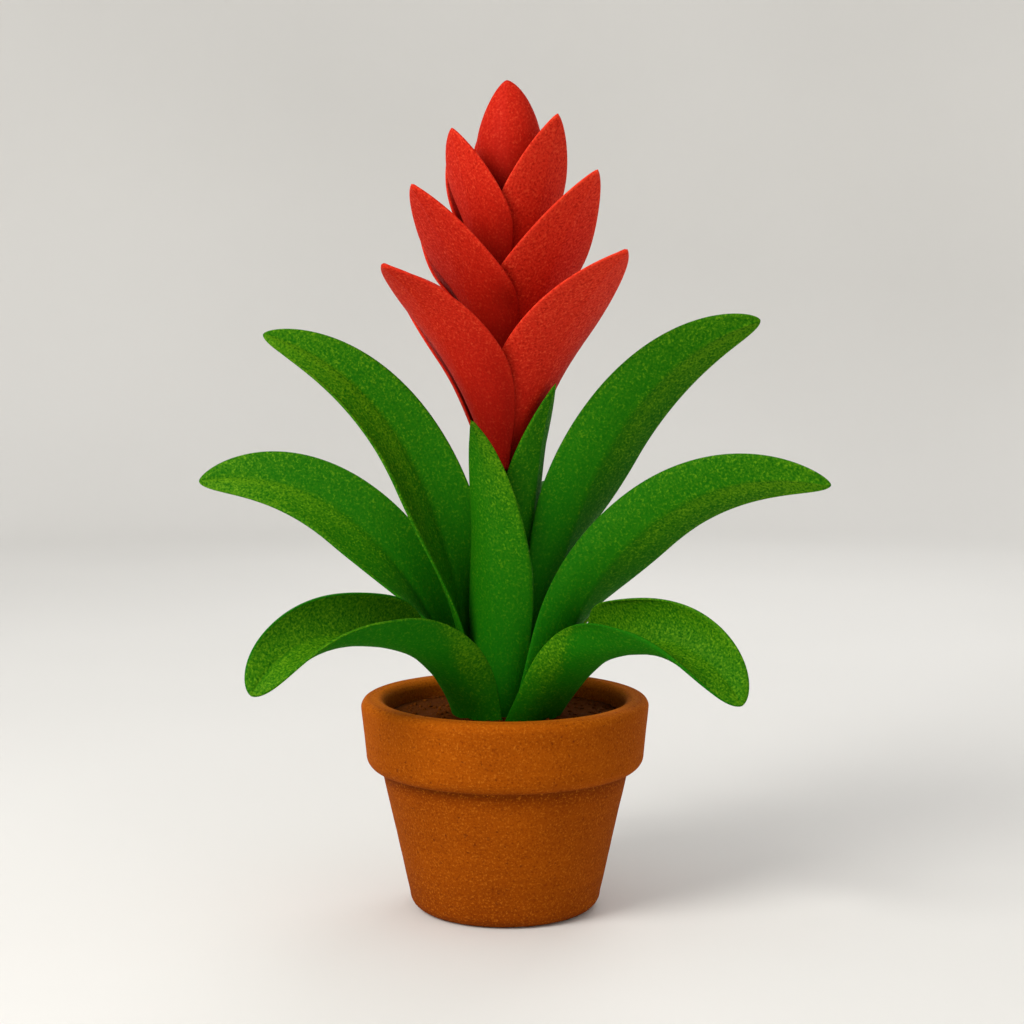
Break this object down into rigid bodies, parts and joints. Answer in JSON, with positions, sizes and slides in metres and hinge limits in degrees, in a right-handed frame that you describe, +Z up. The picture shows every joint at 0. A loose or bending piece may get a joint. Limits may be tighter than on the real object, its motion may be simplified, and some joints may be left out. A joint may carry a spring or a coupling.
{
  "type": "potted bromeliad",
  "caption": "Bromeliad with arching strap leaves and a tiered red bract flower head, standing in a rimmed terracotta pot.",
  "frame": {"origin": "on the ground, below the centre of the plant's spread, which is the pot's axis to within 3 mm", "axes": "+Z up along the pot's axis; -Y towards the front of the plant; +X to its right seen from the front"},
  "size_m": [0.3209, 0.2009, 0.4277],
  "materials": {
    "terracotta": "matte",
    "soil": "matte",
    "stem": "satin",
    "leaf": "satin",
    "bract": "satin"
  },
  "bodies": {
    "root": {"pot": "terracotta", "soil": "soil", "flower_stem": "stem", "leaf_low_left": "leaf", "leaf_low_right": "leaf", "leaf_low_back_left": "leaf", "leaf_low_back_right": "leaf", "leaf_mid_left": "leaf", "leaf_mid_right": "leaf", "leaf_mid_back": "leaf", "leaf_front": "leaf", "leaf_high_back_right": "leaf", "leaf_high_left": "leaf", "leaf_high_right": "leaf", "leaf_inner_right": "leaf", "leaf_high_back_left": "leaf", "leaf_inner_back": "leaf", "bract_low_front_left": "bract", "bract_low_front_right": "bract", "bract_low_back_right": "bract", "bract_low_back_left": "bract", "bract_middle_front_left": "bract", "bract_middle_front_right": "bract", "bract_middle_back_right": "bract", "bract_middle_back_left": "bract", "bract_top_front_left": "bract", "bract_top_front_right": "bract", "bract_top_back_right": "bract", "bract_top_back_left": "bract", "bud_front": "bract", "bud_back": "bract"}
  },
  "joints": []
}
